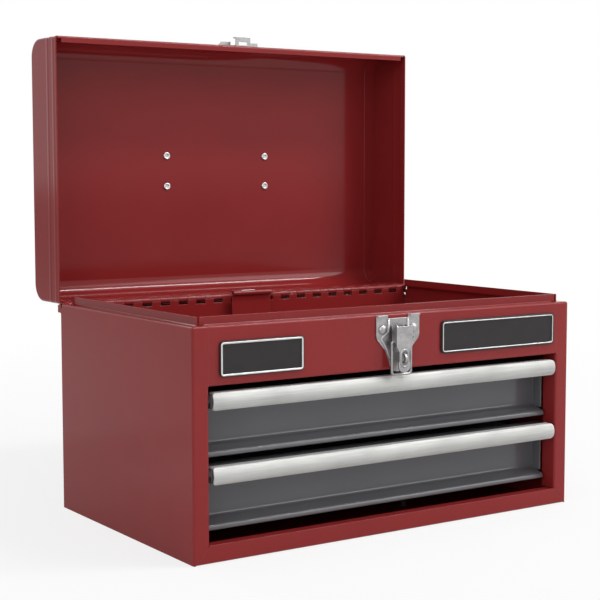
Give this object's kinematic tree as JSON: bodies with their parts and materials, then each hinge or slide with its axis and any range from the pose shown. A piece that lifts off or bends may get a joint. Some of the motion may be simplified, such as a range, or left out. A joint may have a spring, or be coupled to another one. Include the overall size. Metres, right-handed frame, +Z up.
{
  "type": "portable tool box",
  "caption": "Portable red steel tool box with a hinged lid over an open top compartment, and grey drawers with aluminium pulls on ball slides below.",
  "frame": {"origin": "middle of the base, on the underside of the bottom panel", "axes": "+X to the right along the front, -Y out of the drawer fronts, +Z up"},
  "size_m": [0.41, 0.3401, 0.4522],
  "materials": {
    "red_enamel": "gloss",
    "grey_enamel": "satin",
    "brushed_aluminium": "brushed",
    "zinc_plated_steel": "satin",
    "bright_steel": "polished",
    "badge_plate": "satin plate with a bright rim",
    "black_grip": "matte"
  },
  "bodies": {
    "case": {"side_panel_left": "red_enamel", "side_panel_right": "red_enamel", "bottom_panel": "red_enamel", "front_header": "red_enamel", "back_panel": "red_enamel", "compartment_floor": "red_enamel", "hinge_body_leaf": "red_enamel", "hinge_pin": "bright_steel", "badge_left": "badge_plate", "badge_right": "badge_plate", "latch_plate": "zinc_plated_steel", "latch_rivets": "zinc_plated_steel", "latch_staple": "zinc_plated_steel", "latch_pin": "zinc_plated_steel", "lock_bar_guides": "zinc_plated_steel", "carrier_upper_left": "red_enamel", "carrier_upper_right": "red_enamel", "carrier_lower_left": "red_enamel", "carrier_lower_right": "red_enamel", "slide_outer_upper_left": "zinc_plated_steel", "slide_outer_upper_right": "zinc_plated_steel", "slide_outer_lower_left": "zinc_plated_steel", "slide_outer_lower_right": "zinc_plated_steel"},
    "lid": {"lid_shell": "red_enamel", "lid_end_left": "red_enamel", "lid_end_right": "red_enamel", "lid_hinge_leaf": "red_enamel", "lid_press_tab": "zinc_plated_steel", "strike_plate": "zinc_plated_steel", "strike_rivets": "zinc_plated_steel", "handle_brackets": "zinc_plated_steel", "handle_rivets": "zinc_plated_steel"},
    "handle": {"handle_bail": "zinc_plated_steel", "handle_grip": "black_grip"},
    "latch_lever": {"latch_lever": "zinc_plated_steel"},
    "latch_bail": {"latch_bail": "zinc_plated_steel"},
    "lock_bar": {"lock_bar": "red_enamel"},
    "drawer_upper": {"drawer_upper_tray": "grey_enamel", "drawer_upper_front": "grey_enamel", "drawer_upper_pull": "brushed_aluminium", "drawer_upper_catch": "zinc_plated_steel", "drawer_upper_rivets": "zinc_plated_steel", "slide_inner_upper_left": "zinc_plated_steel", "slide_inner_upper_right": "zinc_plated_steel"},
    "drawer_lower": {"drawer_lower_tray": "grey_enamel", "drawer_lower_front": "grey_enamel", "drawer_lower_pull": "brushed_aluminium", "drawer_lower_catch": "zinc_plated_steel", "drawer_lower_rivets": "zinc_plated_steel", "slide_inner_lower_left": "zinc_plated_steel", "slide_inner_lower_right": "zinc_plated_steel"},
    "cages_upper": {"cage_upper_left": "zinc_plated_steel", "cage_upper_right": "zinc_plated_steel", "balls_upper": "bright_steel"},
    "cages_lower": {"cage_lower_left": "zinc_plated_steel", "cage_lower_right": "zinc_plated_steel", "balls_lower": "bright_steel"}
  },
  "joints": [
    {"name": "lid_hinge", "type": "hinge", "parent": "case", "child": "lid", "pos_m": [0, 0.1262, 0.192], "axis": [1, 0, 0], "range_deg": [0, 90]},
    {"name": "handle_swing", "type": "hinge", "parent": "lid", "child": "handle", "pos_m": [0, 0.1936, 0.3182], "axis": [1, 0, 0], "range_deg": [0, 180]},
    {"name": "latch_lever_swing", "type": "hinge", "parent": "case", "child": "latch_lever", "pos_m": [0, -0.131, 0.1815], "axis": [-1, 0, 0], "range_deg": [0, 120]},
    {"name": "latch_bail_swing", "type": "hinge", "parent": "latch_lever", "child": "latch_bail", "pos_m": [0, -0.131, 0.16995], "axis": [1, 0, 0], "range_deg": [-185, 0]},
    {"name": "lock_bar_slide", "type": "slide", "parent": "case", "child": "lock_bar", "axis": [0, 0, 1], "range_m": [-0.005, 0]},
    {"name": "drawer_upper_slide", "type": "slide", "parent": "case", "child": "drawer_upper", "axis": [0, -1, 0], "range_m": [0, 0.16]},
    {"name": "drawer_lower_slide", "type": "slide", "parent": "case", "child": "drawer_lower", "axis": [0, -1, 0], "range_m": [0, 0.16]},
    {"name": "cages_upper_slide", "type": "slide", "parent": "case", "child": "cages_upper", "axis": [0, -1, 0], "range_m": [0, 0.08]},
    {"name": "cages_lower_slide", "type": "slide", "parent": "case", "child": "cages_lower", "axis": [0, -1, 0], "range_m": [0, 0.08]}
  ],
  "couplings": [
    {"joint": "cages_upper_slide", "follows": "drawer_upper_slide", "ratio": 0.5},
    {"joint": "cages_lower_slide", "follows": "drawer_lower_slide", "ratio": 0.5},
    {"joint": "lock_bar_slide", "follows": "lid_hinge", "m_per_rad": -0.003183}
  ]
}
